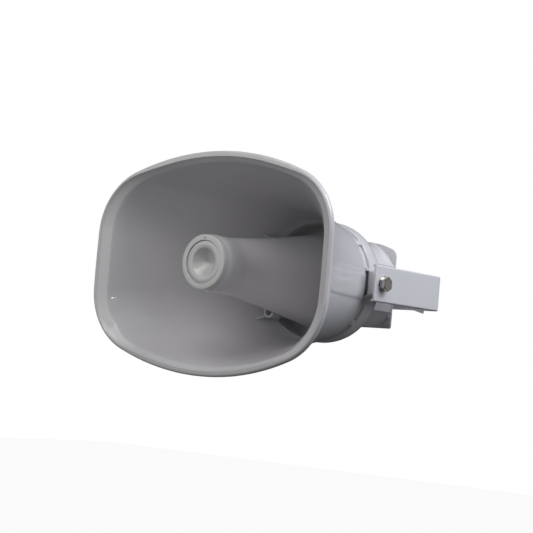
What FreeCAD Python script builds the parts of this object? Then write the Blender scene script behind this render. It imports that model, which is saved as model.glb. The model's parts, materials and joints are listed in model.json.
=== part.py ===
import FreeCAD, Part
import math
import os

V = FreeCAD.Vector
AXIS = V(0, 1, 0)
SIDES = (-1, 1)

# Everything is drawn about the tilt axis: X across, Y towards the wall, Z up.
# At the end it moves forward by the setback, so that the origin lies on the wall face.
setback = 106.0

# Mouth and flare
mouth_width = 285.0
mouth_height = 212.0
mouth_reach = 176.0
mouth_sweep = 5.5
mouth_top_radius = 272.0
mouth_side_radius = 1088.0
mouth_corner_radius = 64.0
lip_width = 7.5
lip_depth = 6.0
lip_front_round = 2.4
lip_back_round = 1.8
lip_inner_bevel = 1.4
flare_wall = 3.3
flare_rear_radius = 62.4
flare_rear = -11.6
width_slope = 0.45
width_power = 2.5
height_slope = 0.8
height_power = 3.0

# Raised lands on the flanks of the flare
land_bottom = -16.0
land_top_front = 3.5
land_top_rear = 8.5
land_rise = 1.2
shoulder_top = 12.5
shoulder_length = 67.5
shoulder_rise = 0.6

# Screw posts that clamp cone, flare and bowl
post_angle = 41.0
post_circle = 53.5
post_radius = 4.5
tube_radius = 5.8
tube_bore = 4.0
tube_front = -30.0
tube_floor = 3.5
ear_thickness = 2.5
web_thickness = 2.6
spigot_front = -14.0
screw_hole = 2.2
screw_shank = 1.9
screw_pilot = 1.95
screw_head = 3.1
screw_head_height = 2.4
screw_grip = 22.0
recess_half = 1.7
recess_width = 0.8
recess_depth = 1.2

# Reflector bowl
spigot_clearance = 0.2
rim_radius = 61.5
rim_front = -1.0
rim_round = 1.2
rim_land = 8.0
bowl_back_radius = 49.4
bowl_back = 31.0
bowl_floor = 15.0
bowl_floor_thickness = 6.0
turn_radius = 15.0
pocket_radius = 49.5
pocket_bulge = 1.0
back_flange = 2.5
neck_edge = 0.7
gusset_length = 9.0
gusset_thickness = 5.0
gusset_flat = 3.5

# Side pedestals and tilt bolts
pedestal_root = 56.2
pedestal_root_half = 16.2
pedestal_tip_half = 10.0
pedestal_front = -7.5
pedestal_root_back = 13.0
pedestal_tip_back = 9.0
pedestal_round = 2.0
slot_top = 63.5
slot_half = 12.0
slot_back = 3.0
bolt_radius = 4.0
bolt_hole = 4.25
bolt_end = 65.5
insert_radius = 5.5
insert_start = 65.0
insert_clearance = 0.05
head_flats = 13.0
head_height = 4.2
spring_washer_radius = 7.2
spring_washer_thickness = 1.2
flat_washer_radius = 8.0
flat_washer_thickness = 1.0
friction_washer_radius = 9.5
friction_washer_thickness = 1.0
turning_gap = 0.1

# Bracket
bracket_outer = 76.2
sheet = 2.0
arm_front = -13.5
bracket_half_height = 18.1
bracket_bend = 4.0
lip_turn = 4.0
lip_bend = 1.6
lip_end_gap = 8.0
wall_hole = 4.25
side_hole = 3.25
side_hole_spacing = 50.0
tab_inner = 45.5
tab_outer = 57.5
tab_drop = 2.8

# Reflex cone
cone_front = -181.4
cone_wall = 2.5
nose_flat = 24.6
collar_radius = 26.9
collar_y = -173.0
waist_radius = 26.5
waist_y = -155.0
cone_rear_radius = 48.6
cone_rear = -2.0
cone_power = 1.3
nose_wall = 3.0
nose_hole = 17.5

# Nose ring and cap
cap_front = -185.4
ring_outer = 24.9
ring_inner = 20.3
ring_round = 1.3
cap_radius = 20.05
cap_recess = 1.4
dimple_radius = 13.4
dimple_depth = 7.4
cap_wall = 2.0
ring_hole = 0.9
notch_width = 2.4

# Throat core
core_front = -150.0
core_front_radius = 15.2
core_rear_radius = 36.0
core_power = 1.4
core_wall = 2.2
bore_front = 13.0
bore_rear = 9.5
core_spigot = 12.0
fin_thickness = 2.5
fin_front = -140.0
fin_rear = -32.0
seat_gap = 0.1
core_screw_circle = 24.0
core_boss_radius = 3.5
core_boss_front = -26.0

# Driver
driver_gasket_thickness = 1.0
adapter_radius = 37.5
adapter_thickness = 6.5
surround_thickness = 1.0
plate_thickness = 4.0
magnet_thickness = 8.0
yoke_thickness = 4.0
magnet_radius = 31.0
magnet_hole = 16.0
yoke_radius = 30.0
coil_gap_radius = 14.1
pole_radius = 11.6
pole_vent = 2.5
dome_radius = 12.6
dome_height = 5.0
dome_thickness = 0.5
dome_gap = 1.0
former_inner = 12.65
former_wall = 0.2
former_length = 7.0
coil_wall = 0.5
coil_length = 4.0
film_inner = 14.1
film_thickness = 0.4
roll_inner = 16.0
roll_outer = 22.5
roll_height = 1.2
clamp_inner = 25.0
driver_screw_circle = 34.3
driver_screw_head = 2.7

# Rear housing and cover
housing_radius = 49.0
housing_half_width = 42.9
housing_bottom = 40.5
housing_wall = 2.5
housing_back = 66.0
cover_thickness = 3.0
cover_half_width = 43.5
cover_top = 49.0
cover_top_radius = 101.0
cover_top_corner = 9.0
cover_bottom_corner = 2.5
column_x = 31.0
column_z = 30.5
column_radius = 3.8
cover_screw_head = 3.6
cover_screw_length = 45.0
seal_inset = 0.7
seal_width = 1.1
seal_depth = 1.0
ear_hole = 1.2
ear_hole_x = 40.4
ear_hole_z = 27.4

# Amplifier board
standoff_height = 4.0
standoff_flats = 5.0
standoff_circle = 25.0
board_thickness = 1.6
board_margin = 1.2
board_screw_head = 2.7
board_screw_head_height = 1.4
board_hole = 1.6
jack_x = -16.0
jack_z = 15.0
jack_width = 16.0
jack_length = 21.0
jack_height = 13.4
transformer_x = -15.0
transformer_z = -10.5
transformer_width = 15.0
transformer_length = 12.0
transformer_height = 6.0
processor_x = 8.0
processor_z = 12.0
processor_size = 14.0
processor_height = 1.4
amp_x = 20.0
amp_z = -14.0
amp_size = 10.0
amp_height = 1.6
sink_width = 16.0
sink_height = 7.0
sink_base = 1.6
sink_fin = 1.2
sink_gap = 1.8
drum_radius = 5.0
drum_core = 3.4
drum_height = 5.0
drum_flange = 1.0
first_drum_x = 28.0
first_drum_z = 10.5
second_drum_x = 20.5
second_drum_z = 25.0
can_radius = 4.0
can_height = 10.0
can_edge = 0.5
can_groove = 0.3
can_groove_start = 1.2
can_groove_width = 0.8
can_side_x = -32.5
can_upper_z = 12.0
can_middle_z = -10.0
can_lower_x = -21.5
can_lower_z = -27.0
output_z = 34.5
output_width = 10.4
output_depth = 7.5
output_height = 9.0
output_pitch = 5.2

# Cable gland and breather
gland_z = -24.0
gland_thread = 9.9
gland_flats = 24.0
gland_flange = 4.0
gland_neck = 2.0
gland_nut_length = 13.0
gland_nut_end = 8.5
gland_bore = 6.5
cable_hole = 3.2
locknut_thickness = 5.0
vent_x = -24.0
vent_z = -18.0
vent_radius = 5.0
vent_height = 3.5

# Places along the axis that follow from the sizes
lip_back = -mouth_reach + lip_depth
inner_rear_radius = flare_rear_radius - flare_wall
spigot_radius = inner_rear_radius - spigot_clearance
ear_front = spigot_front - ear_thickness
floor_back = bowl_floor + bowl_floor_thickness
adapter_front = floor_back + driver_gasket_thickness
adapter_back = adapter_front + adapter_thickness
plate_front = adapter_back + surround_thickness
magnet_front = plate_front + plate_thickness
yoke_front = magnet_front + magnet_thickness
yoke_back = yoke_front + yoke_thickness
board_front = yoke_back + standoff_height
board_back = board_front + board_thickness
cover_back = housing_back + cover_thickness
arm_inner = bracket_outer - sheet
pedestal_tip = arm_inner - turning_gap - friction_washer_thickness - turning_gap
post_angles = (post_angle, 180 - post_angle, 180 + post_angle, -post_angle)
quarter_turns = (0, 90, 180, 270)


def turned(start, *steps):
    """Solid of revolution about the horn axis. Points are (radius, y); a step of
    four numbers is an arc through its first point to its second."""
    edges = []
    here = V(start[0], start[1], 0)
    for step in steps + (start,):
        end = V(step[-2], step[-1], 0)
        if end.distanceToPoint(here) < 1e-7:
            continue
        if len(step) == 4:
            edges.append(Part.Arc(here, V(step[0], step[1], 0), end).toShape())
        else:
            edges.append(Part.makeLine(here, end))
        here = end
    return Part.Face(Part.Wire(edges)).revolve(V(0, 0, 0), AXIS, 360)


def turned_between(outer, inner, y_start, y_end, stations=7):
    """Solid of revolution between two smooth radius curves, each a function of y."""
    span = [y_start + (y_end - y_start) * i / (stations - 1) for i in range(stations)]
    curves = []
    for radius in (outer, inner):
        curve = Part.BSplineCurve()
        curve.interpolate([V(radius(y), y, 0) for y in span])
        curves.append(curve.toShape())
    front = Part.makeLine(V(inner(y_start), y_start, 0), V(outer(y_start), y_start, 0))
    back = Part.makeLine(V(outer(y_end), y_end, 0), V(inner(y_end), y_end, 0))
    wire = Part.Wire(Part.__sortEdges__(curves + [front, back]))
    return Part.Face(wire).revolve(V(0, 0, 0), AXIS, 360)


def rod(radius, y_start, y_end, x=0.0, z=0.0):
    return Part.makeCylinder(radius, y_end - y_start, V(x, y_start, z), AXIS)


def tube(outer, inner, y_start, y_end, x=0.0, z=0.0):
    return rod(outer, y_start, y_end, x, z).cut(rod(inner, y_start, y_end, x, z))


def block(x0, x1, y0, y1, z0, z1):
    return Part.makeBox(x1 - x0, y1 - y0, z1 - z0, V(x0, y0, z0))


def spun(shape, angle):
    """A copy turned about the horn axis; angle 0 is +X and 90 is +Z."""
    copy = shape.copy()
    copy.rotate(V(0, 0, 0), AXIS, -angle)
    return copy


def spun_all(shape, angles):
    return [spun(shape, angle) for angle in angles]


def around(circle, angle):
    return circle * math.cos(math.radians(angle)), circle * math.sin(math.radians(angle))


def joined(shape, others):
    """One solid from a shape and the pieces moulded onto it."""
    return shape.fuse(list(others)).removeSplitter()


def without(shape, tools):
    return shape.cut(Part.makeCompound(list(tools)))


def both_sides(shape):
    return [shape, shape.mirror(V(0, 0, 0), V(1, 0, 0))]


def hexagon(flats, y_start, y_end, x=0.0, z=0.0, turn=30.0):
    """Hexagonal bar along Y with its crown edges bevelled at the far end."""
    corner = flats / 2 / math.cos(math.radians(30))
    points = []
    for i in range(7):
        a = math.radians(60 * i + turn)
        points.append(V(x + corner * math.cos(a), y_start, z + corner * math.sin(a)))
    bar = Part.Face(Part.makePolygon(points)).extrude(V(0, y_end - y_start, 0))
    length = abs(y_end - y_start)
    reach = corner * 1.6
    crown = Part.makeCone(corner + length * reach / corner * 2, flats / 2 - 0.3,
                          length, V(x, y_start, z), V(0, y_end - y_start, 0))
    return bar.common(crown)


def oval(half_width, half_height, top_radius, side_radius, corner_radius, y):
    """Closed oval of eight tangent arcs in the plane at y."""
    top_z = half_height - top_radius
    side_x = half_width - side_radius
    near = top_radius - corner_radius
    far = side_radius - corner_radius
    between = math.hypot(side_x, top_z)
    along = (near ** 2 - far ** 2 + between ** 2) / (2 * between)
    off = math.sqrt(near ** 2 - along ** 2)
    corner_x = (along * side_x - off * top_z) / between
    corner_z = top_z - (along * top_z + off * side_x) / between
    top_angle = math.atan2(corner_z - top_z, corner_x)
    side_angle = math.atan2(corner_z, corner_x - side_x)

    def arc(cx, cz, radius, start, end):
        at = [V(cx + radius * math.cos(a), y, cz + radius * math.sin(a))
              for a in (start, (start + end) / 2, end)]
        return Part.Arc(*at).toShape()

    turn = math.pi
    return Part.Wire([
        arc(side_x, 0, side_radius, -side_angle, side_angle),
        arc(corner_x, corner_z, corner_radius, side_angle, top_angle),
        arc(0, top_z, top_radius, top_angle, turn - top_angle),
        arc(-corner_x, corner_z, corner_radius, turn - top_angle, turn - side_angle),
        arc(-side_x, 0, side_radius, turn - side_angle, turn + side_angle),
        arc(-corner_x, -corner_z, corner_radius, turn + side_angle, turn + top_angle),
        arc(0, -top_z, top_radius, turn + top_angle, 2 * turn - top_angle),
        arc(corner_x, -corner_z, corner_radius, 2 * turn - top_angle, 2 * turn - side_angle)])


def mouth_oval(inset, y):
    return oval(mouth_width / 2 - inset, mouth_height / 2 - inset, mouth_top_radius - inset,
                mouth_side_radius - inset, mouth_corner_radius - inset, y)


def flare_oval(y, grow=0.0):
    """Section of the flare's inner wall at y, round at the rear. Its height is full at
    the mouth's reach and its width a sweep further forward."""
    depth = flare_rear - y
    share = depth / (flare_rear + mouth_reach + mouth_sweep)
    wide = width_slope * share + (1 - width_slope) * share ** width_power
    share = depth / (flare_rear + mouth_reach)
    high = height_slope * share + (1 - height_slope) * share ** height_power
    rear = inner_rear_radius

    def blend(full, part):
        return rear + (full - lip_width - rear) * part + grow

    return oval(blend(mouth_width / 2, wide), blend(mouth_height / 2, high),
                blend(mouth_top_radius, high), blend(mouth_side_radius, wide),
                blend(mouth_corner_radius, wide), y)


def flare_body(grow, front, stations=7):
    """Loft through flare sections from the rear edge forward to the plane at front."""
    start = flare_rear - 0.3
    places = [start + (front - start) * i / (stations - 1) for i in range(stations)]
    return Part.makeLoft([flare_oval(y, grow) for y in places], True, False)


def sweep_column(y):
    """Upright cylinder whose near side bounds the swept mouth, at y in the middle."""
    half = mouth_width / 2
    radius = (half ** 2 + mouth_sweep ** 2) / (2 * mouth_sweep)
    return Part.makeCylinder(radius, 2 * mouth_height, V(0, y - radius, -mouth_height))


def lies_on(edge, shape):
    """True for an edge whose middle touches the surface of a shape."""
    middle = edge.valueAt((edge.FirstParameter + edge.LastParameter) / 2)
    return shape.Shells[0].distToShape(Part.Vertex(middle))[0] < 1e-3


def housing_wire(inset, y):
    """Circle cut by two flat sides and a flat underside, moved inwards by inset."""
    radius = housing_radius - inset
    side = housing_half_width - inset
    low = -(housing_bottom - inset)
    side_z = math.sqrt(radius ** 2 - side ** 2)
    low_x = math.sqrt(radius ** 2 - low ** 2)
    knee = math.radians(-45)
    knee_x = radius * math.cos(knee)
    knee_z = radius * math.sin(knee)
    right = V(side, y, side_z)
    left = V(-side, y, side_z)
    edges = [
        Part.makeLine(V(-low_x, y, low), V(low_x, y, low)),
        Part.Arc(V(low_x, y, low), V(knee_x, y, knee_z), V(side, y, -side_z)).toShape(),
        Part.makeLine(V(side, y, -side_z), right),
        Part.Arc(right, V(0, y, radius), left).toShape(),
        Part.makeLine(left, V(-side, y, -side_z)),
        Part.Arc(V(-side, y, -side_z), V(-knee_x, y, knee_z), V(-low_x, y, low)).toShape()]
    return Part.Wire(edges)


def housing_slab(inset, y_start, y_end):
    return Part.Face(housing_wire(inset, y_start)).extrude(V(0, y_end - y_start, 0))


def columns(radius, y_start, y_end):
    return [rod(radius, y_start, y_end, sx * column_x, sz * column_z)
            for sx in SIDES for sz in SIDES]


def rounded_wire(x, y0, y1, z0, z1, radius):
    """Rounded rectangle in the plane at x."""
    outline = Part.makePolygon([V(x, y0, z0), V(x, y1, z0), V(x, y1, z1), V(x, y0, z1), V(x, y0, z0)])
    slab = Part.Face(outline).extrude(V(1, 0, 0))
    slab = slab.makeFillet(radius, [e for e in slab.Edges if along(e, 0)])
    return [f for f in slab.Faces if abs(f.CenterOfMass.x - x) < 1e-6][0].OuterWire


def along(edge, axis):
    """True for a straight edge that runs along the given axis, 0 to 2."""
    ends = [v.Point for v in edge.Vertexes]
    if len(ends) != 2:
        return False
    run = ends[1] - ends[0]
    return abs(abs(run[axis]) - run.Length) < 1e-6


# The bracket that stays on the wall


def mounting_bracket():
    wall = setback
    bend = bracket_bend
    low = -bracket_half_height
    path = [(bracket_outer, arm_front), (bracket_outer, wall), (-bracket_outer, wall),
            (-bracket_outer, arm_front), (-arm_inner, arm_front), (-arm_inner, wall - sheet),
            (arm_inner, wall - sheet), (arm_inner, arm_front), (bracket_outer, arm_front)]
    outline = Part.Face(Part.makePolygon([V(x, y, low) for x, y in path]))
    shape = outline.extrude(V(0, 0, 2 * bracket_half_height))
    upright = [e for e in shape.Edges if along(e, 2)]
    shape = shape.makeFillet(bend, [e for e in upright if abs(e.CenterOfMass.y - wall) < 1e-6])
    upright = [e for e in shape.Edges if along(e, 2)]
    inside = [e for e in upright if abs(e.CenterOfMass.y - (wall - sheet)) < 1e-6
              and abs(abs(e.CenterOfMass.x) - arm_inner) < 1e-6]
    shape = shape.makeFillet(bend - sheet, inside)
    lips = []
    for side in SIDES:
        for up in SIDES:
            x0, x1 = sorted((side * (bracket_outer - lip_turn), side * bracket_outer))
            z0, z1 = sorted((up * (bracket_half_height - sheet), up * bracket_half_height))
            lips.append(block(x0, x1, arm_front, wall - lip_end_gap, z0, z1))
    tab = Part.Face(Part.makePolygon([
        V(tab_inner, wall - sheet, low + 0.5), V(tab_inner, wall - sheet, low),
        V(tab_outer - 1.2, wall - sheet, low - tab_drop), V(tab_outer, wall - sheet, low - tab_drop),
        V(tab_outer, wall - sheet, low + 0.5), V(tab_inner, wall - sheet, low + 0.5)]))
    tab = tab.extrude(V(0, sheet, 0))
    shape = joined(shape, lips + both_sides(tab))
    long_edges = [e for e in shape.Edges if along(e, 1) and e.Length > setback / 2
                  and abs(abs(e.CenterOfMass.x) - bracket_outer) < 1e-6
                  and abs(abs(e.CenterOfMass.z) - bracket_half_height) < 1e-6]
    shape = shape.makeFillet(lip_bend, long_edges)
    holes = [Part.makeCylinder(bolt_hole, 2 * bracket_outer + 2, V(-bracket_outer - 1, 0, 0), V(1, 0, 0)),
             rod(wall_hole, wall - sheet - 1, wall + 1)]
    holes += [rod(side_hole, wall - sheet - 1, wall + 1, side * side_hole_spacing / 2) for side in SIDES]
    return without(shape, holes)


# Tilt joint


def across(outer, inner, x_start, x_end):
    """Washer or sleeve on the tilt axis, on the +X side."""
    shape = Part.makeCylinder(outer, x_end - x_start, V(x_start, 0, 0), V(1, 0, 0))
    if inner:
        shape = shape.cut(Part.makeCylinder(inner, x_end - x_start, V(x_start, 0, 0), V(1, 0, 0)))
    return shape


def tilt_hardware():
    friction = arm_inner - turning_gap - friction_washer_thickness
    washer = bracket_outer + turning_gap
    spring = washer + flat_washer_thickness
    head = spring + spring_washer_thickness
    bolt_head = hexagon(head_flats, 0, head_height)
    bolt_head.rotate(V(0, 0, 0), V(0, 0, 1), -90)
    bolt_head.translate(V(head, 0, 0))
    bolt = bolt_head.fuse(across(bolt_radius, 0, bolt_end, head)).removeSplitter()
    ring = across(spring_washer_radius, bolt_radius + 0.1, spring, head)
    split = block(spring - 1, head + 1, -0.5, 0.5, 0, spring_washer_radius + 1)
    split.rotate(V(spring, 0, 0), V(0, 0, 1), 20)
    sleeve = across(insert_radius, bolt_radius + insert_clearance, insert_start, pedestal_tip)
    return {
        "tilt_bolts": bolt,
        "tilt_spring_washers": ring.cut(split),
        "tilt_flat_washers": across(flat_washer_radius, bolt_radius + 0.2, washer, spring),
        "friction_washers": across(friction_washer_radius, bolt_radius + 0.2, friction,
                                   friction + friction_washer_thickness),
        "threaded_inserts": sleeve}


# Flare


def land(front, low, top_front, top_rear, rise):
    """Raised land on both flanks that follows the flare at a small rise. Its upper
    edge runs from one height at the front to another at the rear."""
    raised = flare_body(flare_wall + rise, lip_back - mouth_sweep)
    outline = Part.makePolygon([V(0, front, low), V(0, flare_rear, low), V(0, flare_rear, top_rear),
                                V(0, front, top_front), V(0, front, low)])
    window = Part.Face(outline).extrude(V(mouth_width / 2, 0, 0))
    return both_sides(raised.common(window))


def horn_flare():
    front = sweep_column(-mouth_reach)
    back = sweep_column(lip_back)
    foremost = -mouth_reach - mouth_sweep - 3
    lip = Part.Face(mouth_oval(0, foremost)).extrude(V(0, lip_back + 3 - foremost, 0))
    lip = lip.cut(front).common(back)
    lip = lip.makeFillet(lip_front_round, [e for e in lip.Edges if lies_on(e, front)])
    lip = lip.makeFillet(lip_back_round, [e for e in lip.Edges if lies_on(e, back)])
    lands = land(lip_back - mouth_sweep, land_bottom, land_top_front, land_top_rear, land_rise)
    lands += land(flare_rear - shoulder_length, 0, shoulder_top, shoulder_top, shoulder_rise)
    shape = flare_body(flare_wall, foremost).fuse(lands)
    shape = shape.cut(sweep_column(-mouth_reach + lip_depth / 2)).fuse(lip)
    cavity = flare_body(0.0, foremost)
    shape = shape.cut(cavity)
    inner = [e for e in shape.Edges if lies_on(e, front) and lies_on(e, cavity)]
    shape = shape.makeChamfer(lip_inner_bevel, inner)
    shape = shape.cut(rod(inner_rear_radius, spigot_front, flare_rear + 1))

    # Ears and webs inside the rear edge, one at each post
    ear = rod(tube_radius, ear_front, spigot_front, post_circle)
    ear = ear.fuse(block(post_circle, inner_rear_radius + 2, ear_front, spigot_front,
                         -tube_radius, tube_radius))
    web_inner = post_circle + tube_radius + 0.4
    web_front = ear_front - 22
    outer_there = inner_rear_radius + 7
    web = Part.Face(Part.makePolygon([
        V(web_inner, ear_front, 0), V(inner_rear_radius + 2, ear_front, 0), V(outer_there, web_front, 0),
        V(web_inner, ear_front - 12, 0), V(web_inner, ear_front, 0)]))
    web = web.extrude(V(0, 0, web_thickness))
    web.translate(V(0, 0, -web_thickness / 2))
    ear = ear.fuse(web).cut(rod(screw_hole, ear_front - 1, spigot_front + 1, post_circle))
    return joined(shape, spun_all(ear, post_angles))


# Bowl behind the flare


def pedestal():
    tip = rounded_wire(pedestal_tip, pedestal_front, pedestal_tip_back,
                       -pedestal_tip_half, pedestal_tip_half, pedestal_round)
    root = rounded_wire(pedestal_root, pedestal_front, pedestal_root_back,
                        -pedestal_root_half, pedestal_root_half, pedestal_round)
    return Part.makeLoft([root, tip], True, True)


def reflector_bowl():
    drop = rim_radius - bowl_back_radius
    run = bowl_back - rim_land
    back_arc = (drop ** 2 + run ** 2) / (2 * drop)
    half = math.atan2(run, back_arc - drop) / 2
    mid = (rim_radius - back_arc + back_arc * math.cos(half), rim_land + back_arc * math.sin(half))
    turn_outer = spigot_radius - 1.5
    turn_inner = turn_outer - turn_radius
    diagonal = turn_radius * math.sqrt(0.5)
    corner = rim_round * (1 - math.sqrt(0.5))
    shape = turned(
        (core_spigot + seat_gap, bowl_floor), (turn_inner, bowl_floor),
        (turn_inner + diagonal, bowl_floor - turn_radius + diagonal,
         turn_outer, bowl_floor - turn_radius),
        (spigot_radius - neck_edge, spigot_front), (spigot_radius, spigot_front),
        (spigot_radius, rim_front), (rim_radius - rim_round, rim_front),
        (rim_radius - corner, rim_front + corner, rim_radius, rim_front + rim_round),
        (rim_radius, rim_land), (mid[0], mid[1], bowl_back_radius, bowl_back),
        (core_spigot + seat_gap, bowl_back))
    flange_front = bowl_back - back_flange
    pocket = turned((0, floor_back), (pocket_radius, floor_back),
                    (pocket_radius + pocket_bulge, floor_back + 3),
                    (pocket_radius - 2, flange_front), (0, flange_front))
    shape = shape.cut(pocket).cut(housing_slab(housing_wall, flange_front - 1, bowl_back + 1))

    # Posts for the long screws, gussets in the groove and pedestals for the bolts
    post = rod(post_radius, spigot_front, bowl_floor + 1, post_circle)
    gusset = Part.Face(Part.makePolygon([
        V(spigot_radius - 1, rim_front + 1, -gusset_thickness / 2),
        V(rim_radius - 0.3, rim_front + 1, -gusset_thickness / 2),
        V(rim_radius - 0.3, rim_front - gusset_flat, -gusset_thickness / 2),
        V(spigot_radius - 1, rim_front - gusset_length, -gusset_thickness / 2),
        V(spigot_radius - 1, rim_front + 1, -gusset_thickness / 2)]))
    gusset = gusset.extrude(V(0, 0, gusset_thickness))
    added = spun_all(post, post_angles) + spun_all(gusset, post_angles) + both_sides(pedestal())
    added += columns(column_radius + 0.4, floor_back - 1, bowl_back)
    shape = joined(shape, added)

    bores = spun_all(rod(screw_pilot, spigot_front - 1, ear_front + screw_grip, post_circle), post_angles)
    bores += both_sides(across(insert_radius + insert_clearance, 0, insert_start - 0.5, pedestal_tip + 1))
    bores += both_sides(block(spigot_radius, slot_top, pedestal_front - 1, slot_back, -slot_half, slot_half))
    bores += columns(screw_pilot + 0.1, cover_back - cover_screw_length - 2, bowl_back + 1)
    bores += spun_all(rod(screw_pilot, bowl_floor + 1, floor_back + 1, driver_screw_circle), quarter_turns)
    for angle in post_angles:
        x, z = around(core_screw_circle, angle)
        bores.append(rod(screw_hole, bowl_floor - 1, floor_back + 1, x, z))
        bores.append(Part.makeCone(screw_hole, screw_head + 0.1, screw_head_height,
                                   V(x, floor_back - screw_head_height, z), AXIS))
    bores.append(housing_slab(seal_inset, bowl_back - seal_depth, bowl_back + 1).cut(
        housing_slab(seal_inset + seal_width, bowl_back - seal_depth, bowl_back + 1)))
    return without(shape, bores)


# Reflex cone and nose


def cone_outer(y):
    share = max(0.0, (y - waist_y) / (cone_rear - waist_y))
    return waist_radius + (cone_rear_radius - waist_radius) * share ** cone_power


def cone_inner(y):
    return cone_outer(y) - cone_wall


def reflex_cone():
    back = turned_between(cone_outer, cone_inner, waist_y, cone_rear)
    blend_r = collar_radius - 0.6
    blend_y = cone_front + 2.2
    nose = turned(
        (nose_hole, cone_front), (nose_flat, cone_front),
        (blend_r - 0.5, cone_front + 0.65, blend_r, blend_y),
        (collar_radius - 0.15, (blend_y + collar_y) / 2, collar_radius, collar_y),
        (waist_radius + 0.1, (collar_y + waist_y) / 2, waist_radius, waist_y),
        (waist_radius - cone_wall, waist_y), (waist_radius - cone_wall, cone_front + nose_wall + 2),
        (waist_radius - cone_wall - 0.6, cone_front + nose_wall + 0.6,
         waist_radius - cone_wall - 2, cone_front + nose_wall),
        (nose_hole, cone_front + nose_wall))
    leg = rod(tube_radius, tube_front, ear_front, post_circle)
    leg = leg.fuse(block(waist_radius, post_circle - 1, tube_front + 3, ear_front,
                         -web_thickness / 2, web_thickness / 2))
    inside = turned_between(lambda y: cone_outer(y) - cone_wall / 2, lambda y: 1.0,
                            tube_front - 2, cone_rear)
    leg = leg.cut(inside)
    shape = joined(back.fuse(nose), spun_all(leg, post_angles))
    floor_y = ear_front - tube_floor
    bores = spun_all(rod(tube_bore, tube_front - 1, floor_y, post_circle), post_angles)
    bores += spun_all(rod(screw_hole, tube_front - 1, ear_front + 1, post_circle), post_angles)
    return without(shape, bores)


def nose_ring():
    corner = ring_round * (1 - math.sqrt(0.5))
    shape = turned(
        (ring_inner, cap_front + 0.4), (ring_inner + 0.4, cap_front), (ring_outer - ring_round, cap_front),
        (ring_outer - corner, cap_front + corner, ring_outer, cap_front + ring_round),
        (ring_outer, cone_front - 0.3), (ring_outer - 0.3, cone_front), (ring_inner, cone_front))
    middle = (ring_inner + ring_outer) / 2
    pin = rod(ring_hole, cap_front - 1, cap_front + 2.5, 0, middle)
    notch = block(-notch_width / 2, notch_width / 2, cap_front - 1, cap_front + 1.5,
                  -ring_outer - 1, -middle - 1)
    return without(shape, [pin, notch])


def cone_cap():
    face = cap_front + cap_recess
    seat = cone_front
    slope = dimple_depth / dimple_radius
    back_radius = nose_hole - 0.3
    wall = cap_wall * math.hypot(1, slope)
    back_depth = seat + (back_radius - dimple_radius) * 0.2
    return turned(
        (0, face + dimple_depth), (dimple_radius - 0.6, face + slope * 0.6),
        (dimple_radius - 0.1, face + 0.12, dimple_radius + 0.5, face),
        (cap_radius - 0.4, face), (cap_radius, face + 0.4), (cap_radius, seat), (back_radius, seat),
        (back_radius, seat + nose_wall), (dimple_radius + 1, seat + nose_wall),
        (0, max(face + dimple_depth + wall, back_depth)))


# Throat core inside the reflex cone


def core_outer(y):
    share = max(0.0, (y - core_front) / (bowl_floor - core_front))
    return core_front_radius + (core_rear_radius - core_front_radius) * share ** core_power


def core_bore(y):
    return bore_front + (bore_rear - bore_front) * (y - core_front) / (floor_back - core_front)


def throat_core():
    cavity_front = (2 * core_front + bowl_floor) / 3
    skin = turned_between(core_outer, core_bore, core_front, bowl_floor)
    cavity = turned_between(lambda y: core_outer(y) - core_wall, lambda y: core_bore(y) + core_wall,
                            cavity_front, bowl_floor)
    boss = rod(core_boss_radius, core_boss_front, bowl_floor, core_screw_circle)
    spigot = turned((core_bore(bowl_floor - 1), bowl_floor - 1), (core_spigot, bowl_floor - 1),
                    (core_spigot, floor_back), (core_bore(floor_back), floor_back))
    fin = turned_between(lambda y: cone_inner(y) - seat_gap, lambda y: core_outer(y) - core_wall / 2,
                         fin_front, fin_rear)
    fin = fin.common(block(0, mouth_width, fin_front, fin_rear, -fin_thickness / 2, fin_thickness / 2))
    shape = skin.cut(cavity).fuse([spigot] + spun_all(boss, post_angles) + spun_all(fin, post_angles))
    bores = spun_all(rod(screw_pilot, core_boss_front / 2, bowl_floor + 1, core_screw_circle), post_angles)
    return without(shape.removeSplitter(), bores)


# Fasteners


def cross_recess(crown, way, x, z):
    """Cross driven into a screw head from its crown."""
    y0, y1 = sorted((crown + way, crown - way * recess_depth))
    half = recess_width / 2
    return [block(x - recess_half, x + recess_half, y0, y1, z - half, z + half),
            block(x - half, x + half, y0, y1, z - recess_half, z + recess_half)]


def pan_screw(seat, radius, height, shank, tip, x, z, way):
    """Screw along Y with a domed head; way is +1 where the head lies behind its seat."""
    crown = seat + way * height
    cap = height * 0.6
    sphere = (radius ** 2 + cap ** 2) / (2 * cap)
    half = math.asin(radius / sphere) / 2
    head = turned((0, seat), (radius, seat), (radius, crown - way * cap),
                  (sphere * math.sin(half), crown - way * sphere * (1 - math.cos(half)), 0, crown))
    head.translate(V(x, 0, z))
    screw = head.fuse(rod(shank, min(seat, tip), max(seat, tip), x, z)).removeSplitter()
    return without(screw, cross_recess(crown, way, x, z))


def cone_screws():
    seat = ear_front - tube_floor
    places = [around(post_circle, angle) for angle in post_angles]
    return [pan_screw(seat, screw_head, screw_head_height, screw_shank,
                      ear_front + screw_grip - 1, x, z, -1) for x, z in places]


def core_screws():
    shapes = []
    for angle in post_angles:
        x, z = around(core_screw_circle, angle)
        head = Part.makeCone(screw_shank, screw_head, screw_head_height,
                             V(x, floor_back - screw_head_height, z), AXIS)
        screw = head.fuse(rod(screw_shank, core_boss_front / 2 + 1,
                              floor_back - screw_head_height + 0.5, x, z)).removeSplitter()
        shapes.append(without(screw, cross_recess(floor_back, 1, x, z)))
    return shapes


def driver_screws():
    places = [around(driver_screw_circle, angle) for angle in quarter_turns]
    return [pan_screw(adapter_back, driver_screw_head, 2.4, screw_shank, bowl_floor + 1.5, x, z, 1)
            for x, z in places]


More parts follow.
